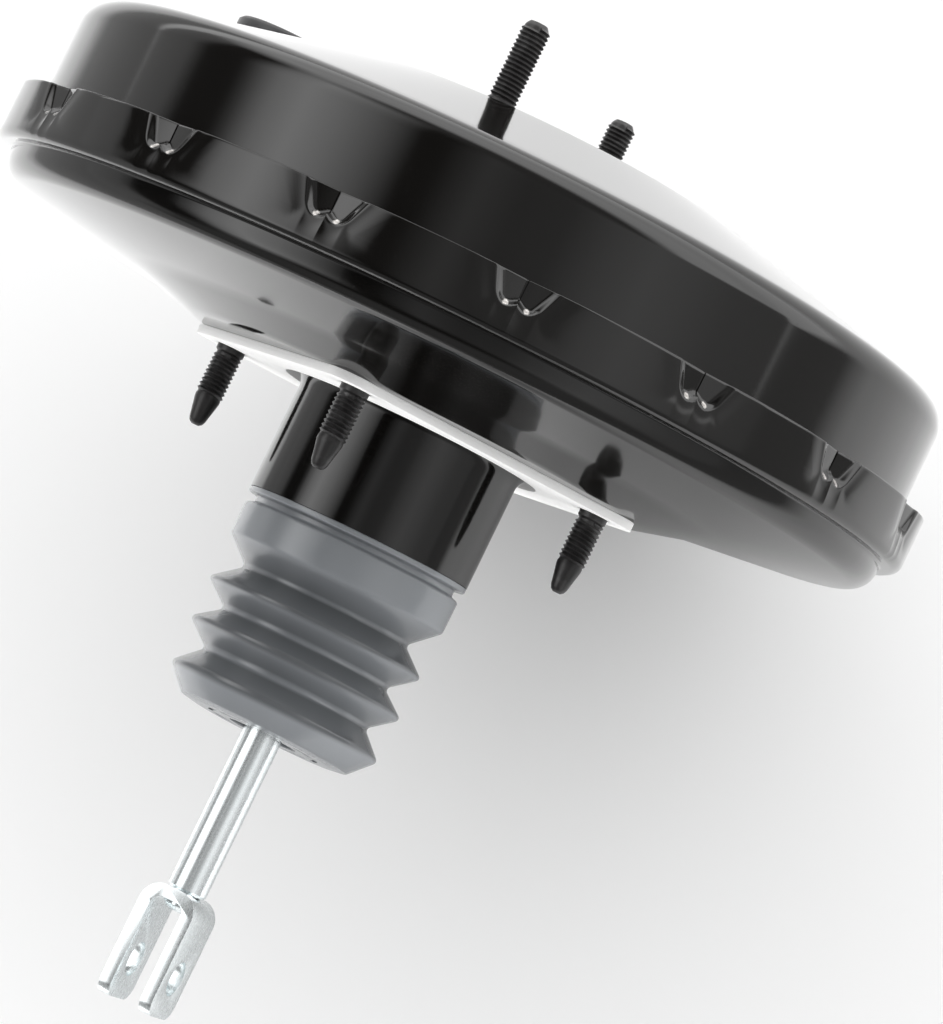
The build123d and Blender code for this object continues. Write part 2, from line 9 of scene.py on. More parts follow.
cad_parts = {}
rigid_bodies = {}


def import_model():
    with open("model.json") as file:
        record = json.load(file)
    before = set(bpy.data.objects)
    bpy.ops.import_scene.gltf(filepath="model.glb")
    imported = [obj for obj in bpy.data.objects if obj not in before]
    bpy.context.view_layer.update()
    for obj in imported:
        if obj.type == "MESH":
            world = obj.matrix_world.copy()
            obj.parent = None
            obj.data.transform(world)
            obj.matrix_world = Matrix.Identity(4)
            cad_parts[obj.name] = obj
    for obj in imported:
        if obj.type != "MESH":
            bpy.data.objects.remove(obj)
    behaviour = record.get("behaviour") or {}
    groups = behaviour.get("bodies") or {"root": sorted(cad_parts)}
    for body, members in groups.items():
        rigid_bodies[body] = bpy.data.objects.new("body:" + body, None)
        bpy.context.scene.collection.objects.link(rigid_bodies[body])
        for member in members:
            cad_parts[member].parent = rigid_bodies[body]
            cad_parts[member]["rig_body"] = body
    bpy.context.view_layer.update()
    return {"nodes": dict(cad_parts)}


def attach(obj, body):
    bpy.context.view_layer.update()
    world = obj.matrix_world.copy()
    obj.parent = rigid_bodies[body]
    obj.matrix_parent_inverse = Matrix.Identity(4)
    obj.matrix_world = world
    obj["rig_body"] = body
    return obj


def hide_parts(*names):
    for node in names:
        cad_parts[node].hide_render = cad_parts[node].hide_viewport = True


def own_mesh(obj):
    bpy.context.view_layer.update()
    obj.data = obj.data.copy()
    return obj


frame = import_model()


# Rear shell: the pedal-side half, deep drawn from 2 mm steel sheet and stoved gloss black.
# Its skirt wraps the front shell's flange, and a punch has pressed sixteen vee crimps into
# the skirt's free edge to lock the two together. The neck is drawn from the same sheet.

MM = 0.001
SHEET = 2.0
SKIRT_R = 135.0
SKIRT_EDGE = 37.4
CRIMPS = 16
CRIMP_FOOT = 28.6
CRIMP_HALF_FOOT = 5.5
CRIMP_HALF_EDGE = 9.5
CRIMP_STEP = 1.3
CRIMP_RISE = 1.8
CRIMP_NOSE = 2.9
CRIMP_SIDE_BEND = 2.6
CRIMP_FOOT_BEND = 2.2
CRIMP_FOOT_CURVE = 1.5
DRAW_IN = 0.62
DRAW_REACH = 4.0
SLIT_HALF = 0.25
SLIT_DEPTH = 0.4
CHIP_RISE = 1.2
CHIP_CORE = 1.0
CHIP_RIM = 1.35
CHIP_RAGGED = 0.9


class Wire:
    """An output socket that takes part in sums, so shader maths reads as it is said."""

    def __init__(self, board, socket):
        self.board = board
        self.socket = socket

    def maths(self, operation, *others):
        inputs = dict(enumerate((self, *others)))
        return self.board.node("ShaderNodeMath", {"operation": operation}, inputs)

    def __add__(self, other):
        return self.maths("ADD", other)

    def __sub__(self, other):
        return self.maths("SUBTRACT", other)

    def __rsub__(self, other):
        return self.board.node("ShaderNodeMath", {"operation": "SUBTRACT"}, {0: other, 1: self})

    def __mul__(self, other):
        return self.maths("MULTIPLY", other)

    def __truediv__(self, other):
        return self.maths("DIVIDE", other)

    __radd__ = __add__
    __rmul__ = __mul__


def grey(level):
    return (level, level, level)


class Board:
    """A node tree of any kind. Most methods add a node and return its output."""

    def __init__(self, tree):
        self.tree = tree

    def plug(self, value, socket):
        if isinstance(value, Wire):
            self.tree.links.new(value.socket, socket)
        else:
            socket.default_value = value

    def node(self, kind, settings=None, inputs=None, output=0):
        made = self.tree.nodes.new(kind)
        for name, value in (settings or {}).items():
            setattr(made, name, value)
        for key, value in (inputs or {}).items():
            self.plug(value, made.inputs[key])
        return Wire(self, made.outputs[output])

    def split(self, vector):
        """The X, Y and Z of a vector."""
        parts = self.node("ShaderNodeSeparateXYZ", None, {"Vector": vector})
        return [Wire(self, socket) for socket in parts.socket.node.outputs]

    def length(self, vector):
        return self.node("ShaderNodeVectorMath", {"operation": "LENGTH"}, {0: vector}, "Value")

    def product(self, one, two):
        return self.node("ShaderNodeVectorMath", {"operation": "MULTIPLY"}, {0: one, 1: two})

    def scaled(self, vector, scale):
        inputs = {"Vector": vector, "Scale": scale}
        return self.node("ShaderNodeVectorMath", {"operation": "SCALE"}, inputs)

    def between(self, value, low, high, least=0.0):
        """Runs from the least level to 1 as the value runs from low to high."""
        inputs = {"Value": value, "From Min": low, "From Max": high, "To Min": least}
        return self.node("ShaderNodeMapRange", {"clamp": True}, inputs)

    def tint(self, factor, first, second):
        """A mix of two colours, each an output or three plain levels."""
        first, second = [c if isinstance(c, Wire) else (*c, 1) for c in (first, second)]
        settings = {"data_type": "RGBA", "blend_type": "MIX"}
        return self.node("ShaderNodeMix", settings, {0: factor, 6: first, 7: second}, 2)

    def ramp(self, factor, stops):
        """Greys along a factor, from (position, level) stops."""
        wire = self.node("ShaderNodeValToRGB", None, {"Fac": factor})
        elements = wire.socket.node.color_ramp.elements
        while len(elements) < len(stops):
            elements.new(1.0)
        for element, (position, level) in zip(elements, stops):
            element.position = position
            element.color = (*grey(level), 1)
        return wire

    def ray(self, kind):
        """1 for rays of one kind, from the camera, glossy or through a surface."""
        return self.node("ShaderNodeLightPath", output=kind)


class Finish(Board):
    """A procedural material on one Principled shader, patterned on object coordinates."""

    def __init__(self, name, **constants):
        self.material = bpy.data.materials.new(name)
        self.material.use_nodes = True
        super().__init__(self.material.node_tree)
        self.shader = self.tree.nodes["Principled BSDF"]
        for key, value in constants.items():
            self.shader.inputs[key.replace("_", " ")].default_value = value
        self.at = self.node("ShaderNodeTexCoord", output="Object")

    def feed(self, **values):
        for key, value in values.items():
            self.plug(value, self.shader.inputs[key.replace("_", " ")])

    def stretched(self, x, y, z):
        inputs = {"Vector": self.at, "Scale": (x, y, z)}
        return self.node("ShaderNodeMapping", {"vector_type": "POINT"}, inputs)

    def noise(self, scale, detail=2.0, at=None):
        inputs = {"Vector": at or self.at, "Scale": scale, "Detail": detail}
        return self.node("ShaderNodeTexNoise", None, inputs, "Fac")

    def spots(self, scale, randomness=1.0):
        inputs = {"Vector": self.at, "Scale": scale, "Randomness": randomness}
        return self.node("ShaderNodeTexVoronoi", None, inputs, "Distance")

    def relief(self, height, depth, strength=1.0):
        inputs = {"Height": height, "Distance": depth, "Strength": strength}
        self.feed(Normal=self.node("ShaderNodeBump", None, inputs))


def drawn(corners, radii, steps=8):
    """A line through (x, radius) corners in millimetres, with an arc at each inner corner."""
    points = [complex(*corner) for corner in corners]
    line = [points[0]]
    for before, corner, after, radius in zip(points, points[1:], points[2:], radii):
        back = (before - corner) / abs(before - corner)
        ahead = (after - corner) / abs(after - corner)
        half = abs(phase(ahead / back)) / 2
        centre = corner + (back + ahead) / abs(back + ahead) * radius / sin(half)
        start = corner + back * radius / tan(half) - centre
        end = corner + ahead * radius / tan(half) - centre
        sweep = phase(end / start)
        line += [centre + start * rect(1, sweep * k / steps) for k in range(steps + 1)]
    return line + [points[-1]]


def walled(line, thickness):
    """The closed section of a sheet: the line, and the same line moved over by the thickness."""
    ends = zip([line[0], *line[:-1]], [*line[1:], line[-1]])
    over = [point + 1j * thickness * (b - a) / abs(b - a) for point, (a, b) in zip(line, ends)]
    return line + over[::-1]


def link_mesh(name, mesh):
    """A new piece at the origin, from a mesh."""
    piece = bpy.data.objects.new(name, mesh)
    bpy.context.scene.collection.objects.link(piece)
    return piece


def skin(name, grid, closed):
    """A mesh over rows of points. The rows close on themselves, and the columns do if asked."""
    sheet = bmesh.new()
    rows = [[sheet.verts.new(point) for point in row] for row in grid]
    for one, two in zip(rows, [*rows[1:], rows[0]]):
        for c in range(len(one) if closed else len(one) - 1):
            d = (c + 1) % len(one)
            sheet.faces.new((one[c], one[d], two[d], two[c]))
    bmesh.ops.remove_doubles(sheet, verts=sheet.verts, dist=0.002 * MM)
    bmesh.ops.recalc_face_normals(sheet, faces=sheet.faces)
    mesh = bpy.data.meshes.new(name)
    sheet.to_mesh(mesh)
    sheet.free()
    return link_mesh(name, mesh)


def spun(point, clock):
    """A point of a section, in millimetres, turned about the axis to a clock angle from +Y."""
    return Vector((point.real, point.imag * cos(clock), point.imag * sin(clock))) * MM


def turned(name, section, columns=180):
    """A turned piece from a closed section of (x, radius) points."""
    clocks = [2 * pi * c / columns for c in range(columns)]
    return skin(name, [[spun(point, clock) for clock in clocks] for point in section], True)


def baked(piece):
    """The piece with its modifiers applied as a plain mesh."""
    bpy.context.view_layer.update()
    evaluated = piece.evaluated_get(bpy.context.evaluated_depsgraph_get())
    mesh = bpy.data.meshes.new_from_object(evaluated)
    piece.modifiers.clear()
    piece.data = mesh
    return piece


def fitted(piece, finish, slot, body, *nodes, sharp=34):
    """Gives a finished piece its material, smooth shading and body. The slot is not used."""
    piece.data.materials.clear()
    piece.data.materials.append(finish.material)
    piece.data.polygons.foreach_set("use_smooth", [True] * len(piece.data.polygons))
    piece.data.set_sharp_from_angle(angle=radians(sharp))
    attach(piece, body)
    if nodes:
        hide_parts(*nodes)
    return piece


def eased(value):
    """Runs smoothly from 0 to 1."""
    t = min(max(value, 0.0), 1.0)
    return t * t * (3 - 2 * t)


def with_nodes(piece, name, build, **values):
    """Runs a piece through a Geometry Nodes tree with named inputs, and makes it plain again."""
    tree = bpy.data.node_groups.new(name, "GeometryNodeTree")
    tree.interface.new_socket("Geometry", in_out="INPUT", socket_type="NodeSocketGeometry")
    kinds = {int: "NodeSocketInt", float: "NodeSocketFloat", bpy.types.Material: "NodeSocketMaterial"}
    found = {}
    for key, value in values.items():
        found[key] = tree.interface.new_socket(key, in_out="INPUT", socket_type=kinds[type(value)])
    tree.interface.new_socket("Geometry", in_out="OUTPUT", socket_type="NodeSocketGeometry")
    board = Board(tree)
    start = tree.nodes.new("NodeGroupInput")
    wires = {key: Wire(board, start.outputs[key]) for key in ("Geometry", *values)}
    end = tree.nodes.new("NodeGroupOutput")
    board.plug(build(board, wires), end.inputs["Geometry"])
    modifier = piece.modifiers.new(name, "NODES")
    modifier.node_group = tree
    for key, value in values.items():
        modifier[found[key].identifier] = value
    return baked(piece)


def ring_of_copies(board, wires):
    """Copies the geometry round the axis, joins neighbours and gives them the material."""
    points = board.node("GeometryNodePoints", None, {"Count": wires["Count"]})
    index = board.node("GeometryNodeInputIndex")
    turn = board.node("ShaderNodeCombineXYZ", None, {"X": index * (2 * pi) / wires["Count"]})
    copies = {"Points": points, "Instance": wires["Geometry"], "Rotation": turn}
    instances = board.node("GeometryNodeInstanceOnPoints", None, copies)
    real = board.node("GeometryNodeRealizeInstances", None, {"Geometry": instances})
    whole = board.node("GeometryNodeMergeByDistance", None, {"Geometry": real, "Distance": 0.004 * MM})
    return board.node("GeometryNodeSetMaterial", None, {"Geometry": whole, "Material": wires["Material"]})


black_paint = Finish("stoved_black_paint", IOR=1.5)
flow = black_paint.noise(14, 2)
peel = black_paint.noise(330, 1.0)
dust = black_paint.between(black_paint.spots(260), 0.10, 0.04)
black_paint.relief(peel + dust * 0.2, 0.004 * MM, 0.5)

# Where the punch's two noses struck, the paint has cracked off the foot of each crimp
along, sideways, rise = black_paint.split(black_paint.at)
site = (rise.maths("ARCTAN2", sideways) * CRIMPS / (2 * pi)).maths("PINGPONG", 0.5)
round_off = site * (2 * pi * SKIRT_R * MM / CRIMPS) - CRIMP_NOSE * MM
from_nose = {"X": along - (CRIMP_FOOT + CHIP_RISE) * MM, "Y": round_off, "Z": 0.0}
chip = black_paint.length(black_paint.node("ShaderNodeCombineXYZ", None, from_nose))
ragged = chip + black_paint.noise(900, 2) * (CHIP_RAGGED * MM)
bare = black_paint.between(ragged, CHIP_RIM * MM, CHIP_CORE * MM)
paint = black_paint.tint(flow, (0.0030, 0.0027, 0.0024), (0.0054, 0.0049, 0.0044))
black_paint.feed(
    Base_Color=black_paint.tint(bare, paint, (0.50, 0.48, 0.46)),
    Metallic=bare * 0.85,
    Roughness=0.07 + flow * 0.05 + dust * 0.10 + bare * 0.25,
)

rear_corners = [
    (SKIRT_EDGE, SKIRT_R),
    (21.4, SKIRT_R),
    (21.4, 129.6),
    (14.0, 129.6),
    (7.8, 85.0),
    (2.5, 66.0),
    (2.5, 32.3),
    (-32.0, 32.3),
]
rear_line = drawn(rear_corners, [2.6, 0.8, 6.5, 60.0, 20.0, 5.0])
crimp_rows = [SKIRT_EDGE - 0.25, *[CRIMP_FOOT + 8 - 0.42 * row for row in range(21)]]
crimp_rows += [CRIMP_FOOT - 0.6 * row for row in range(2, 7)]
edge_round = [complex(SKIRT_EDGE, SKIRT_R - 0.5), complex(SKIRT_EDGE - 0.1, SKIRT_R - 0.15)]
rear_line = edge_round + [complex(x, SKIRT_R) for x in crimp_rows] + rear_line[1:]
rear_section = walled(rear_line, SHEET)

# Columns of one crimp site, as shares of the crimp's half width at that row, then out to the pitch
SITE_SHARES = [0, 0.022, 0.04, 0.12, 0.22, 0.32, 0.42, 0.52, 0.60, 0.66, 0.72, 0.77, 0.82, 0.86]
SITE_SHARES += [0.90, 0.94, 0.98, 1.03, 1.10, 1.18, 1.28, 1.40, 1.56, 1.76]
SITE_HALF = pi * SKIRT_R / CRIMPS


def crimp_half(x):
    """Half the width of a crimp at one row, which opens towards the skirt's edge."""
    run = (SKIRT_EDGE - CRIMP_FOOT) / (CRIMP_HALF_EDGE - CRIMP_HALF_FOOT)
    return CRIMP_HALF_FOOT + max(0.0, x - CRIMP_FOOT) / run


def site_columns(x):
    """Distances round the skirt from a site's middle at one row, in millimetres."""
    half = [share * crimp_half(x) for share in SITE_SHARES]
    plain = [half[-1] + (SITE_HALF - half[-1]) * k / 4 for k in range(1, 5)]
    side = half + plain
    return [-u for u in reversed(side[1:])] + side


def crimped(point, u, outside):
    """A section point moved in towards the axis where the crimp presses the skirt."""
    if point.imag < SKIRT_R - SHEET - 1.0:
        return point
    half = crimp_half(point.real)
    lobe = min(abs(u) * 2 / half - 1, 1)
    foot = CRIMP_FOOT + CRIMP_FOOT_CURVE * lobe * lobe
    inside = eased((half - abs(u)) / CRIMP_SIDE_BEND) * eased((point.real - foot) / CRIMP_FOOT_BEND)
    vee = CRIMP_STEP + CRIMP_RISE * (1 - abs(u) / CRIMP_HALF_EDGE)
    slit = SLIT_DEPTH if outside and abs(u) < SLIT_HALF and point.real > foot + 1.0 else 0.0
    off = max(abs(u) - half, foot - point.real, 0.0) / DRAW_REACH
    drawn_in = DRAW_IN * exp(-off * off) * (1 - inside)
    return point - 1j * (inside * (vee + slit) + drawn_in)


site_grid = []
for number, point in enumerate(rear_section):
    outside = number < len(rear_line)
    row = []
    for u in site_columns(point.real):
        row.append(spun(crimped(point, u, outside), pi / 2 + u / SKIRT_R))
    site_grid.append(row)
rear_shell = skin("rear_shell_pressing", site_grid, False)
with_nodes(rear_shell, "crimped_ring", ring_of_copies, Count=CRIMPS, Material=black_paint.material)
fitted(rear_shell, black_paint, "black_paint", "housing", "rear_shell", sharp=50)


# Front shell: the engine-side half, drawn deep from the same sheet, with a flat mounting face,
# a recess for the master cylinder's spigot, and a flat pad pressed in the cone for the valve.

VALVE_CLOCK = radians(-15.0)
VALVE_CENTRE = rect(93.5, VALVE_CLOCK)
PAD_X = 77.0
PAD_R = 19.0
PAD_SLOPE = 4.0
DRUM_R = 128.3
CONE_X = 65.1
CONE_RISE = 18.6
CONE_RUN = 68.3
PAD_ROWS_R = 118

front_corners = [
    (27.6, 132.6),
    (27.6, DRUM_R),
    (CONE_X, DRUM_R),
    (83.7, 60.0),
    (83.7, 22.0),
    (66.0, 22.0),
    (66.0, 9.0),
]
front_line = drawn(front_corners, [1.2, 8.0, 14.0, 1.5, 2.2], steps=10)


def cone_x(radius):
    """Where the cone of the front shell lies at one radius."""
    return CONE_X + (DRUM_R - radius) * CONE_RISE / CONE_RUN


# Close rows and columns where the pad is pressed
cone_rows = [complex(cone_x(r), r) for r in [PAD_ROWS_R - 0.8 * k for k in range(62)]]
split = next(k for k, point in enumerate(front_line) if point.real > 60 and point.imag < PAD_ROWS_R)
front_line = front_line[:split] + cone_rows + front_line[split:]
front_section = walled(front_line, -SHEET)
fine_clocks = [VALVE_CLOCK + radians(0.4 * k) for k in range(-40, 41)]
plain_clocks = [VALVE_CLOCK + radians(16 + 328 * k / 132) for k in range(1, 132)]


def with_pad(point, clock):
    """A section point moved to the level of the valve's pad where it lies on it."""
    if point.real < 55 or point.imag < 62:
        return spun(point, clock)
    off = abs(rect(point.imag, clock) - VALVE_CENTRE)
    share = eased((PAD_R + PAD_SLOPE - 1.0 - off) / PAD_SLOPE)
    return spun(point + share * (PAD_X - cone_x(point.imag)), clock)


front_grid = [[with_pad(point, clock) for clock in fine_clocks + plain_clocks] for point in front_section]
front_shell = skin("front_shell_pressing", front_grid, True)
fitted(front_shell, black_paint, "black_paint", "housing", "front_shell", sharp=50)


# Mounting gasket: die-cut from pale closed-cell foam, a square with rounded corners round the
# studs, which seals the neck's opening in the firewall. It hangs on the studs until then.

GASKET_T = 2.5
GASKET_HALF = 50.0
GASKET_CORNER = 8.0
GASKET_BORE = 37.4
STUD_CIRCLE = 56.57
STUD_HOLE = 4.55
FOAM_PAINTED_GLOW = 0.17


def prism(name, outline, low, high, place):
    """A straight piece with an outline of complex points, carried from low to high by place."""
    block = bmesh.new()
    below = [block.verts.new(place(point, low) * MM) for point in outline]
    above = [block.verts.new(place(point, high) * MM) for point in outline]
    block.faces.new(below)
    block.faces.new(above[::-1])
    for k in range(len(outline)):
        n = (k + 1) % len(outline)
        block.faces.new((below[n], below[k], above[k], above[n]))
    bmesh.ops.recalc_face_normals(block, faces=block.faces)
    mesh = bpy.data.meshes.new(name)
    block.to_mesh(mesh)
    block.free()
    return link_mesh(name, mesh)


def round_outline(centre, radius, steps=64):
    return [centre + rect(radius, 2 * pi * k / steps) for k in range(steps)]


def cut(piece, tool, operation="DIFFERENCE"):
    """Cuts a piece with a tool, and throws the tool away."""
    modifier = piece.modifiers.new("cut", "BOOLEAN")
    modifier.operation = operation
    modifier.solver = "EXACT"
    modifier.object = tool
    baked(piece)
    bpy.data.objects.remove(tool)


def break_edges(piece, width, angle=40):
    """Rounds a piece's sharp edges."""
    edge = piece.modifiers.new("broken_edges", "BEVEL")
    edge.width = width * MM
    edge.segments = 3
    edge.limit_method = "ANGLE"
    edge.angle_limit = radians(angle)
    baked(piece)


def along_axis(point, x):
    return Vector((x, point.real, point.imag))


square = [rect(GASKET_HALF * 2 ** 0.5, pi / 2 * k) for k in range(4)]
ring = [(square[3] + square[0]) / 2, *square, (square[3] + square[0]) / 2]
gasket_outline = drawn([(p.real, p.imag) for p in ring], [GASKET_CORNER] * 4, steps=10)[:-1]
gasket = prism("gasket_square", gasket_outline, 0.0, GASKET_T, along_axis)
cut(gasket, prism("bore", round_outline(0, GASKET_BORE, 96), -1, 4, along_axis))
for number in range(4):
    hole = round_outline(rect(STUD_CIRCLE, pi / 2 * number), STUD_HOLE, 32)
    cut(gasket, prism("stud_hole", hole, -1, 4, along_axis))
break_edges(gasket, 0.25)

foam = Finish("pale_gasket_foam", Roughness=0.9, IOR=1.4, Emission_Strength=1.0)
# Painted light: the foam gives off a little glow of its own, so it reads paler than its lighting makes it
foam.feed(Emission_Color=(*grey(FOAM_PAINTED_GLOW), 1))
cells = foam.spots(1500)
foam.feed(Base_Color=foam.tint(foam.noise(60, 3), (0.87, 0.87, 0.86), (0.94, 0.94, 0.93)))
foam.relief(cells + foam.noise(300, 2) * 0.6, 0.06 * MM, 0.7)
fitted(gasket, foam, "gasket_foam", "housing", "mounting_gasket", sharp=30)


# Studs: four M8 to the firewall and two to the master cylinder, rolled from steel with a press-in
# shank and coated black. The firewall studs end in a tapered pilot that finds its hole.

STUD_R = 4.0
SHANK_R = 4.25
ROOT_R = 3.4
PITCH = 1.25
CYLINDER_CIRCLE = 52.0
FIREWALL_SEAT = 6.5
CYLINDER_SEAT = 79.7
FIREWALL_TURNS = 9.4
CYLINDER_TURNS = 16.4


def threaded(board, wires):
    """Adds a rolled thread to a stud and sets copies of it on a circle."""
    spiral = {
        "Resolution": 22,
        "Rotations": wires["Turns"],
        "Start Radius": ROOT_R * MM,
        "End Radius": ROOT_R * MM,
        "Height": wires["Length"],
    }
    helix = board.node("GeometryNodeCurveSpiral", None, spiral)
    upright = board.node("GeometryNodeSetCurveNormal", {"mode": "Z_UP"}, {"Curve": helix})
    ridge = board.node("GeometryNodeCurvePrimitiveCircle", None, {"Resolution": 4, "Radius": 0.6 * MM})
    sweep = {"Curve": upright, "Profile Curve": ridge, "Fill Caps": True}
    thread = board.node("GeometryNodeCurveToMesh", None, sweep)
    start = board.node("ShaderNodeCombineXYZ", None, {"X": wires["From"]})
    lay = {"Geometry": thread, "Translation": start, "Rotation": (0, pi / 2, 0)}
    laid = board.node("GeometryNodeTransform", None, lay)
    stud = board.node("GeometryNodeJoinGeometry", None, {"Geometry": laid})
    board.tree.links.new(wires["Geometry"].socket, stud.socket.node.inputs["Geometry"])
    points = board.node("GeometryNodePoints", None, {"Count": wires["Count"]})
    clock = board.node("GeometryNodeInputIndex") * (2 * pi) / wires["Count"] + wires["Clock"]
    across = {"Y": clock.maths("COSINE") * wires["Circle"], "Z": clock.maths("SINE") * wires["Circle"]}
    seat = board.node("ShaderNodeCombineXYZ", None, across)
    placed = board.node("GeometryNodeSetPosition", None, {"Geometry": points, "Position": seat})
    copies = board.node("GeometryNodeInstanceOnPoints", None, {"Points": placed, "Instance": stud})
    real = board.node("GeometryNodeRealizeInstances", None, {"Geometry": copies})
    return board.node("GeometryNodeSetMaterial", None, {"Geometry": real, "Material": wires["Material"]})


stud_black = Finish("black_coated_steel", IOR=1.5, Metallic=0.0)
grain = stud_black.noise(900, 3)
rubbed = stud_black.between(stud_black.noise(240, 4), 0.52, 0.70)
stud_black.feed(
    Base_Color=stud_black.tint(rubbed, (0.012, 0.011, 0.011), (0.045, 0.044, 0.044)),
    Roughness=0.40 - rubbed * 0.10 + grain * 0.08,
)
stud_black.relief(grain, 0.02 * MM, 0.5)

firewall_stud = [
    (FIREWALL_SEAT + 3.8, 0.0), (FIREWALL_SEAT + 3.8, 5.4), (FIREWALL_SEAT + 3.2, 6.0), (FIREWALL_SEAT, 6.0),
    (FIREWALL_SEAT, SHANK_R), (0.3, SHANK_R), (-0.2, STUD_R), (-1.4, STUD_R), (-2.0, ROOT_R),
    (-14.2, ROOT_R), (-14.8, 3.6), (-15.6, 3.55), (-19.4, 2.75), (-21.4, 2.35), (-22.4, 1.9),
    (-23.0, 1.1), (-23.0, 0.0),
]
stud = turned("firewall_stud_set", [complex(*p) for p in firewall_stud], 40)
with_nodes(
    stud, "threaded_studs", threaded, Count=4, Circle=STUD_CIRCLE * MM, Clock=0.0, Turns=FIREWALL_TURNS,
    Length=FIREWALL_TURNS * PITCH * MM, From=-14.0 * MM, Material=stud_black.material,
)
fitted(stud, stud_black, "stud_steel", "housing", "firewall_studs", sharp=38)

cylinder_stud = [
    (CYLINDER_SEAT - 3.8, 0.0), (CYLINDER_SEAT - 3.8, 5.4), (CYLINDER_SEAT - 3.2, 6.0), (CYLINDER_SEAT, 6.0),
    (CYLINDER_SEAT, SHANK_R), (83.4, SHANK_R), (83.9, STUD_R), (84.6, STUD_R), (85.2, ROOT_R),
    (106.0, ROOT_R), (106.6, 3.1), (107.4, 2.5), (107.4, 0.0),
]
stud = turned("cylinder_stud_set", [complex(*p) for p in cylinder_stud], 40)
with_nodes(
    stud, "threaded_studs", threaded, Count=2, Circle=CYLINDER_CIRCLE * MM, Clock=pi / 2,
    Turns=CYLINDER_TURNS, Length=CYLINDER_TURNS * PITCH * MM, From=85.3 * MM, Material=stud_black.material,
)
fitted(stud, stud_black, "stud_steel", "housing", "master_cylinder_studs", sharp=38)


# Check valve: a moulded elbow in a rubber grommet, which lets the engine draw air from the drum
# but not back. It turns in its grommet to point its hose nozzle.

def from_solid(node, name, finish, slot, sharp=30):
    """A piece on the solid's own shape, with its facets merged and shaded smooth."""
    piece = link_mesh(name, frame["nodes"][node].data.copy())
    joined = bmesh.new()
    joined.from_mesh(piece.data)
    bmesh.ops.remove_doubles(joined, verts=joined.verts, dist=0.002 * MM)
    joined.to_mesh(piece.data)
    joined.free()
    return fitted(piece, finish, slot, frame["nodes"][node]["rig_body"], node, sharp=sharp)


moulding = Finish("black_moulding", IOR=1.48)
moulding.feed(
    Base_Color=moulding.tint(moulding.noise(120, 3), (0.014, 0.014, 0.015), (0.024, 0.024, 0.025)),
    Roughness=0.36 + moulding.noise(700, 2) * 0.16,
)
moulding.relief(moulding.noise(1600, 2), 0.015 * MM, 0.6)
seal_rubber = Finish("black_seal_rubber", Roughness=0.6, IOR=1.5)
rubber_tones = (0.012, 0.012, 0.012), (0.024, 0.023, 0.023)
seal_rubber.feed(Base_Color=seal_rubber.tint(seal_rubber.noise(200, 3), *rubber_tones))
seal_rubber.relief(seal_rubber.noise(1200, 2), 0.02 * MM, 0.5)
from_solid("check_valve_grommet", "valve_grommet", seal_rubber, "seal_rubber")
from_solid("check_valve_body", "valve_elbow", moulding, "moulding")


# Boot: a bellows of grey rubber, moulded in one. Its lip snaps into the neck's open end, and its
# end cap, slotted for breathing, closes round the pushrod and sits on the valve body's tail.

CREST = 1.0
VALLEY = 1.3
BOOT_LEAN = 0.05
SLOTS = 8
SLOT_INNER = 15.0
SLOT_OUTER = 16.4

boot_corners = [
    (-29.6, 30.2), (-32.06, 30.2), (-32.06, 32.2), (-33.5, 32.2), (-34.0, 29.5), (-35.6, 29.5), (-36.4, 31.7),
    (-45.6, 31.6), (-52.6, 24.0), (-59.1, 31.8), (-65.3, 24.0), (-71.1, 31.6), (-77.2, 24.0), (-84.0, 31.0),
    (-90.6, 24.8), (-91.2, 21.0), (-91.2, 9.9), (-88.9, 9.9), (-88.9, 21.4), (-85.9, 21.4),
    (-84.0, 28.2), (-77.2, 21.6), (-71.1, 29.0), (-65.3, 21.6), (-59.1, 29.2), (-52.6, 21.8), (-46.4, 29.0),
    (-37.6, 29.0), (-36.6, 27.2), (-29.6, 27.2), (-29.6, 30.2),
]
boot_radii = [0.3, 0.2, 0.5, 0.5, 0.6, 0.8, 1.6, VALLEY, CREST, VALLEY, CREST, VALLEY, 1.2]
boot_radii += [1.2, 0.4, 0.4, 0.4, 0.3, 0.3, 0.3, 0.6, 0.8, 0.6, 0.8, 0.6, 0.8, 0.8, 0.6, 0.4, 0.4]
boot_section = drawn(boot_corners, boot_radii, steps=6)[:-1]
boot = turned("bellows_boot", boot_section, 200)

for number in range(SLOTS):
    clocks = [radians(45 * number + 8 + 29 * k / 8) for k in range(9)]
    slot_outline = [rect(SLOT_INNER, c) for c in clocks] + [rect(SLOT_OUTER, c) for c in reversed(clocks)]
    cut(boot, prism("breather_slot", slot_outline, -93, -87.5, along_axis))

# The free end leans a little, as a soft boot does
for vertex in boot.data.vertices:
    lean = BOOT_LEAN * eased((-36 * MM - vertex.co.x) / (46 * MM))
    vertex.co.x += lean * vertex.co.z

boot_rubber = Finish("grey_boot_rubber", IOR=1.5)
bloom = boot_rubber.noise(28, 3)
moulded = boot_rubber.noise(900, 3)
radius = boot_rubber.length(boot_rubber.product(boot_rubber.at, (0, 1, 1)))
# Painted shade: the grey darkens from the crests of the folds down into their valleys
height = boot_rubber.between(radius, 23.5 * MM, 30.5 * MM)
rubber_with_valley_shade = boot_rubber.tint(height * 0.9 + bloom * 0.1, (0.185, 0.196, 0.208), (0.250, 0.264, 0.280))
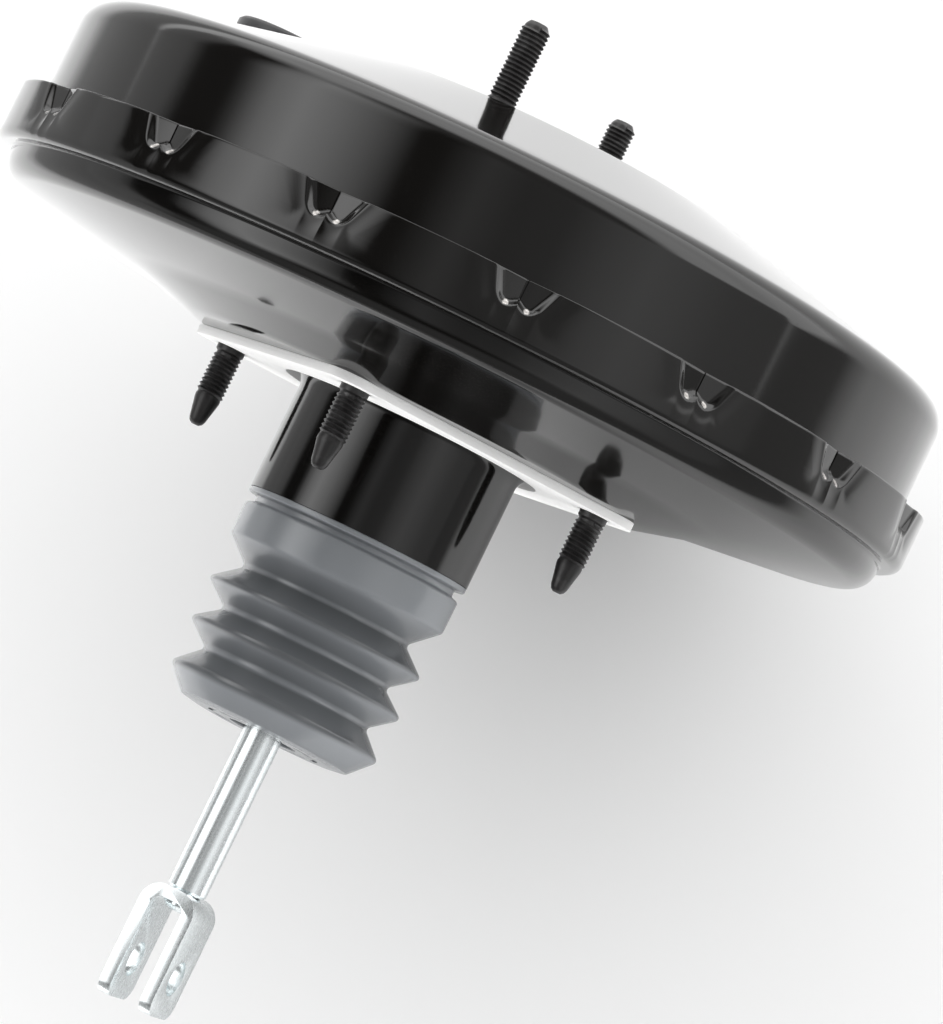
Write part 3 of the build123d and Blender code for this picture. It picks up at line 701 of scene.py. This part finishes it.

# Painted shade: the faces turned to the drum are darkened to less than half, as if in its shadow, and the
# others keep the full grey.
# Each fold's faces begin at an x in millimetres, and the ramp runs over 100 mm.
FOLD_PAINTED_SHADE = [
    (-45, 1.0), (-46.5, 0.95), (-52.2, 0.9), (-53.0, 0.42), (-58.6, 0.42), (-59.6, 1.0), (-64.9, 0.95),
    (-65.7, 0.42), (-70.6, 0.42), (-71.6, 1.0), (-76.8, 0.95), (-77.6, 0.42), (-83.4, 0.42), (-84.6, 1.0),
]
behind = boot_rubber.split(boot_rubber.at)[0] * -10.0
drum_side_shade = boot_rubber.ramp(behind, [(-x / 100, level) for x, level in FOLD_PAINTED_SHADE])
boot_rubber.feed(
    Base_Color=boot_rubber.product(rubber_with_valley_shade, drum_side_shade),
    Roughness=0.15 + moulded * 0.10,
)
boot_rubber.relief(moulded + bloom * 0.4, 0.02 * MM, 0.7)
fitted(boot, boot_rubber, "boot_rubber", "housing", "boot", sharp=60)
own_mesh(boot)


# Pushrod: bright zinc-plated bar with a ball at the valve end. It is shouldered and riveted
# over in the floor of the clevis.

CLEVIS_TOP = -138.0
EAR = 3.4
ROD_R = 5.5

zinc = Finish("bright_zinc_plate", Metallic=1.0, IOR=1.5)
cloud = zinc.noise(45, 3)
drawn_lines = zinc.noise(1.0, 2, at=zinc.stretched(40, 1400, 1400))
specks = zinc.noise(800, 2)
zinc.feed(
    Base_Color=zinc.tint(cloud, (0.93, 0.96, 0.97), (0.85, 0.91, 0.92)),
    Roughness=0.20 + drawn_lines * 0.08 + specks * 0.06,
)
zinc.relief(drawn_lines * 0.7 + specks * 0.5, 0.006 * MM, 0.6)

BALL_X = -22.0
BALL_R = 5.5
ball = [BALL_X + BALL_R * rect(1, pi * k / 16) for k in range(13)]
rod_points = [
    (-32.0, 3.5), (-36.0, 3.5), (-38.0, 4.5), (-68.0, 4.5), (-68.0, ROD_R), (CLEVIS_TOP + 0.7, ROD_R),
    (CLEVIS_TOP + 0.05, ROD_R - 0.6), (CLEVIS_TOP + 0.05, 3.4), (CLEVIS_TOP - EAR - 0.02, 3.4),
    (CLEVIS_TOP - EAR - 0.02, 4.6), (CLEVIS_TOP - EAR - 0.9, 4.5), (CLEVIS_TOP - EAR - 1.8, 3.6),
    (CLEVIS_TOP - EAR - 2.3, 2.0), (CLEVIS_TOP - EAR - 2.5, 0.0),
]
rod = turned("pushrod_bar", ball + [complex(*p) for p in rod_points], 96)
fitted(rod, zinc, "zinc_plate", "pushrod", "input_rod", sharp=30)


# Clevis: a fork blanked and bent from steel strip, its ears drilled for the pedal's pin, zinc
# plated with the rod.

CLEVIS_END = -171.5
FORK_HALF = 8.1
EAR_HALF = 10.0
PIN_X = -160.0
PIN_R = 5.0
TIP_R = 4.5
CUT_REACH = 14.0


def upright(point, z):
    return Vector((point.real, point.imag, z))


def across_fork(point, y):
    return Vector((point.real, y, point.imag))


fork_corners = [
    (CLEVIS_END, FORK_HALF), (CLEVIS_TOP, FORK_HALF), (CLEVIS_TOP, -FORK_HALF), (CLEVIS_END, -FORK_HALF),
]
fork_line = drawn(fork_corners, [6.0, 6.0], steps=14)
fork_section = walled(fork_line, -EAR)
clevis = prism("clevis_fork", fork_section, -EAR_HALF, EAR_HALF, upright)
ear_corners = [
    (CLEVIS_TOP + 5, -EAR_HALF - 3), (CLEVIS_TOP + 5, EAR_HALF), (CLEVIS_END, EAR_HALF),
    (CLEVIS_END, -EAR_HALF), (CLEVIS_TOP + 5, -EAR_HALF),
]
ear_outline = drawn(ear_corners, [0.01, TIP_R, TIP_R], steps=12)
ear_outline = [p for p in ear_outline if p.imag >= -EAR_HALF - 0.001]
envelope = prism("ear_outline", ear_outline, -CUT_REACH, CUT_REACH, across_fork)
cut(clevis, envelope, "INTERSECT")
cut(clevis, prism("pin_drill", round_outline(PIN_X, PIN_R), -CUT_REACH, CUT_REACH, across_fork))
break_edges(clevis, 0.35)
fitted(clevis, zinc, "zinc_plate", "pushrod", "clevis", sharp=30)


# Inside and in the front recess: seals, guides, springs, plates and the valve body. Most of it
# is closed in by the two shells, and keeps the shape of its solid.

spring_steel = Finish("oiled_spring_steel", Metallic=1.0)
spring_steel.feed(
    Base_Color=spring_steel.tint(spring_steel.noise(150, 3), (0.22, 0.22, 0.23), (0.34, 0.34, 0.35)),
    Roughness=0.32 + spring_steel.noise(600, 2) * 0.16,
)
nylon = Finish("natural_nylon", Roughness=0.45, IOR=1.5)
nylon.feed(Base_Color=nylon.tint(nylon.noise(90, 3), (0.70, 0.68, 0.62), (0.80, 0.78, 0.73)))
nylon.relief(nylon.noise(900, 2), 0.01 * MM, 0.5)
felt = Finish("filter_felt", Roughness=0.95, IOR=1.4)
felt.feed(Base_Color=felt.tint(felt.noise(700, 4), (0.05, 0.05, 0.055), (0.14, 0.14, 0.15)))
felt.relief(felt.noise(1500, 3), 0.15 * MM, 0.8)

from_solid("front_seal", "spigot_seal", seal_rubber, "seal_rubber")
from_solid("front_seal_retainer", "spigot_seal_retainer", zinc, "spring_steel")
from_solid("output_rod", "output_pushrod", zinc, "zinc_plate")
from_solid("output_rod_tip", "output_pushrod_tip", zinc, "zinc_plate")
spring = from_solid("return_spring", "return_spring_coil", spring_steel, "spring_steel")
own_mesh(spring)
spring = from_solid("rod_return_spring", "rod_return_spring_coil", spring_steel, "spring_steel")
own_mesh(spring)
spring = from_solid("check_valve_spring", "flap_spring_coil", spring_steel, "spring_steel")
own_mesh(spring)

inner_finishes = {
    "firewall_stud_plate": stud_black,
    "master_cylinder_stud_plate": stud_black,
    "neck_seal": seal_rubber,
    "neck_bearing": nylon,
    "check_valve_flap": seal_rubber,
    "diaphragm": seal_rubber,
    "diaphragm_plate": spring_steel,
    "valve_body": moulding,
    "stop_key": spring_steel,
    "reaction_disc": seal_rubber,
    "output_rod_retainer": zinc,
    "control_plunger": zinc,
    "poppet_valve": seal_rubber,
    "poppet_retainer": zinc,
    "poppet_spring": spring_steel,
    "silencer_felt": felt,
    "air_filter": felt,
    "rod_spring_seat": zinc,
}
for node, finish in inner_finishes.items():
    mesh = frame["nodes"][node].data
    if not mesh.materials:
        mesh.materials.append(finish.material)
    for number in range(len(mesh.materials)):
        mesh.materials[number] = finish.material


# Studio: a white table at the drum's lowest point, in a room that lights the booster mostly from
# low down and in front of it, with two weak lamps. What the gloss shows is set apart by direction,
# as a soft box, dark gaps and pale walls, because the room's plain light has none of them.

FLOOR_LEVEL = -0.1353
FLOOR_HALF = 6
FLOOR_WHITE = 0.86
FLOOR_GLOW = 0.12
FLOOR_FRONT_SHEEN = 1.3
FAR_GREY = 0.5
FAR_RIGHT = 0.35
FAR_LEFT = 0.70
FAR_FRONT = 2.8
ROOM = 3.28
ROOM_LEAN = 1.9
ROOM_FALL = 3.5
REAR_SHARE = 0.12
SIDE_REACH = -0.45

# How bright the gloss shows the table, by y in metres: painted light on the table as the gloss sees it, with
# painted shade where the booster's shadow lies
FLOOR_SHEEN = [
    (-0.5, 1.5), (-0.25, 1.4), (-0.12, 1.05), (-0.06, 0.65),
    (-0.02, 0.65), (0.0, 0.85), (0.09, 1.0), (0.14, 1.5),
]

corner_signs = [(-1, -1), (1, -1), (1, 1), (-1, 1)]
corners = [(FLOOR_HALF * x, FLOOR_HALF * y, FLOOR_LEVEL) for x, y in corner_signs]
floor_mesh = bpy.data.meshes.new("studio_floor")
floor_mesh.from_pydata(corners, [], [(0, 1, 2, 3)])
floor = link_mesh("studio_floor", floor_mesh)
paper = Finish("studio_paper", Roughness=1.0, Specular_IOR_Level=0.0, Emission_Strength=1.0)

# The white table ends where the gloss shows it ending, and to the lens it goes on as white
forward, across, _ = paper.split(paper.at)
table = paper.between(across, -0.56, -0.38) * paper.between(across, 0.50, 0.38)
table = table * paper.between(forward, -1.2, -1.0) * paper.between(forward, 1.0, 0.8)
gloss = paper.ray("Is Glossy Ray")
shown = paper.ray("Is Camera Ray").maths("MAXIMUM", paper.ray("Is Transmission Ray"))
sheen = paper.ramp(across + 0.5, [(y + 0.5, level / 2) for y, level in FLOOR_SHEEN])
# Painted light: past the booster's front, the gloss shows the table brighter still
sheen = paper.tint(paper.between(forward, 0.02, 0.12), paper.scaled(sheen, 2.0), grey(FLOOR_FRONT_SHEEN))
white = paper.tint(gloss, grey(FLOOR_WHITE), sheen)
near = paper.tint(shown, grey(0), grey(FLOOR_GLOW))
far_gloss = paper.tint(paper.between(across, -0.2, 0.2), grey(FAR_RIGHT), grey(FAR_LEFT))
right_front = paper.between(forward + across * 0.15, 0.10, 0.25) * paper.between(across, -0.3, -0.4)
pale_wall = paper.between(forward, 0.7, 0.9).maths("MAXIMUM", right_front)
far = paper.tint(gloss, grey(FAR_GREY), paper.tint(pale_wall, far_gloss, grey(FAR_FRONT)))
far = paper.tint(shown, far, grey(1))
paper.feed(
    Base_Color=paper.tint(table, grey(0), white),
    Emission_Color=paper.tint(table, far, near),
)
floor_mesh.materials.append(paper.material)

# What the gloss sees above the floor, by the angle round the booster's axis from +Y to +Z:
# a long soft box between dark gaps, a grey ceiling and a paler wall on the far side
ROOM_BANDS = [
    (-180, 0.4), (-1, 0.8), (11, 0.7), (17, 0.04), (29, 0.04), (33, 0.5), (41, 2.3), (50, 3.4),
    (60, 2.5), (70, 1.4), (75, 0.75), (80, 0.02), (87, 0.05), (98, 0.5), (108, 0.3), (120, 0.35),
    (132, 0.75), (143, 1.0), (153, 0.85), (165, 0.6), (180, 0.5),
]
# And towards the two ends of the axis, by height
ENDS_BANDS = [(-1.0, 1.6), (-0.05, 2.6), (0.10, 2.6), (0.2, 3.0), (0.45, 3.0), (0.6, 0.3), (1.0, 0.2)]

world = bpy.data.worlds.new("studio_room")
bpy.context.scene.world = world
world.use_nodes = True
room = Board(world.node_tree)
front, side, rise = room.split(room.node("ShaderNodeTexCoord", output="Generated"))
clock = rise.maths("ARCTAN2", side) / (2 * pi) + 0.5
bands = room.ramp(clock, [(angle / 360 + 0.5, level) for angle, level in ROOM_BANDS])
ends = room.ramp(rise / 2 + 0.5, [(height / 2 + 0.5, level) for height, level in ENDS_BANDS])
ends = room.scaled(ends, room.between(front, -0.3, 0.3, REAR_SHARE))
to_right = (side * SIDE_REACH).maths("MAXIMUM", 0.0)
reach = front.maths("ABSOLUTE") + to_right * room.between(front, 0.2, 0.35)
glossy_view = room.tint(room.between(reach, 0.55, 0.75), bands, ends)
level = (ROOM + front * ROOM_LEAN - rise * ROOM_FALL).maths("MAXIMUM", 0.0)
even = room.node("ShaderNodeCombineXYZ", None, {"X": level, "Y": level, "Z": level})
lit = room.tint(room.ray("Is Glossy Ray"), even, glossy_view)
shown = room.tint(room.ray("Is Camera Ray"), lit, grey(1))
room.plug(shown, world.node_tree.nodes["Background"].inputs["Color"])


def soft_box(name, place, width, depth, watts):
    """A rectangular lamp turned towards the booster. It lights, and its mirror image is the room's."""
    lamp = bpy.data.lights.new(name, "AREA")
    lamp.shape = "RECTANGLE"
    lamp.size = width
    lamp.size_y = depth
    lamp.energy = watts
    holder = bpy.data.objects.new(name, lamp)
    holder.location = place
    holder.rotation_euler = Vector(place).to_track_quat("Z", "Y").to_euler()
    holder.visible_glossy = False
    bpy.context.scene.collection.objects.link(holder)


soft_box("key_box", (-0.30, 0.35, 1.55), 1.1, 1.1, 3.0)
soft_box("low_card", (-1.35, 0.10, 0.06), 0.9, 0.3, 7.0)

lens = bpy.data.cameras.new("camera")
lens.sensor_width = 36.0
lens.lens = 187.0
lens.clip_start = 0.05
lens.clip_end = 30.0
camera = bpy.data.objects.new("camera", lens)
bpy.context.scene.collection.objects.link(camera)
right = Vector((0.4357, -0.8669, -0.2424)).normalized()
ahead = Vector((0.0584, 0.2959, -0.9534)).normalized()
up = right.cross(ahead)
turn = Matrix((right, up, -ahead)).transposed().to_4x4()
camera.matrix_world = Matrix.Translation((-0.0963, -0.4478, 1.3607)) @ turn
bpy.context.scene.camera = camera
bpy.context.scene.view_settings.view_transform = "Standard"
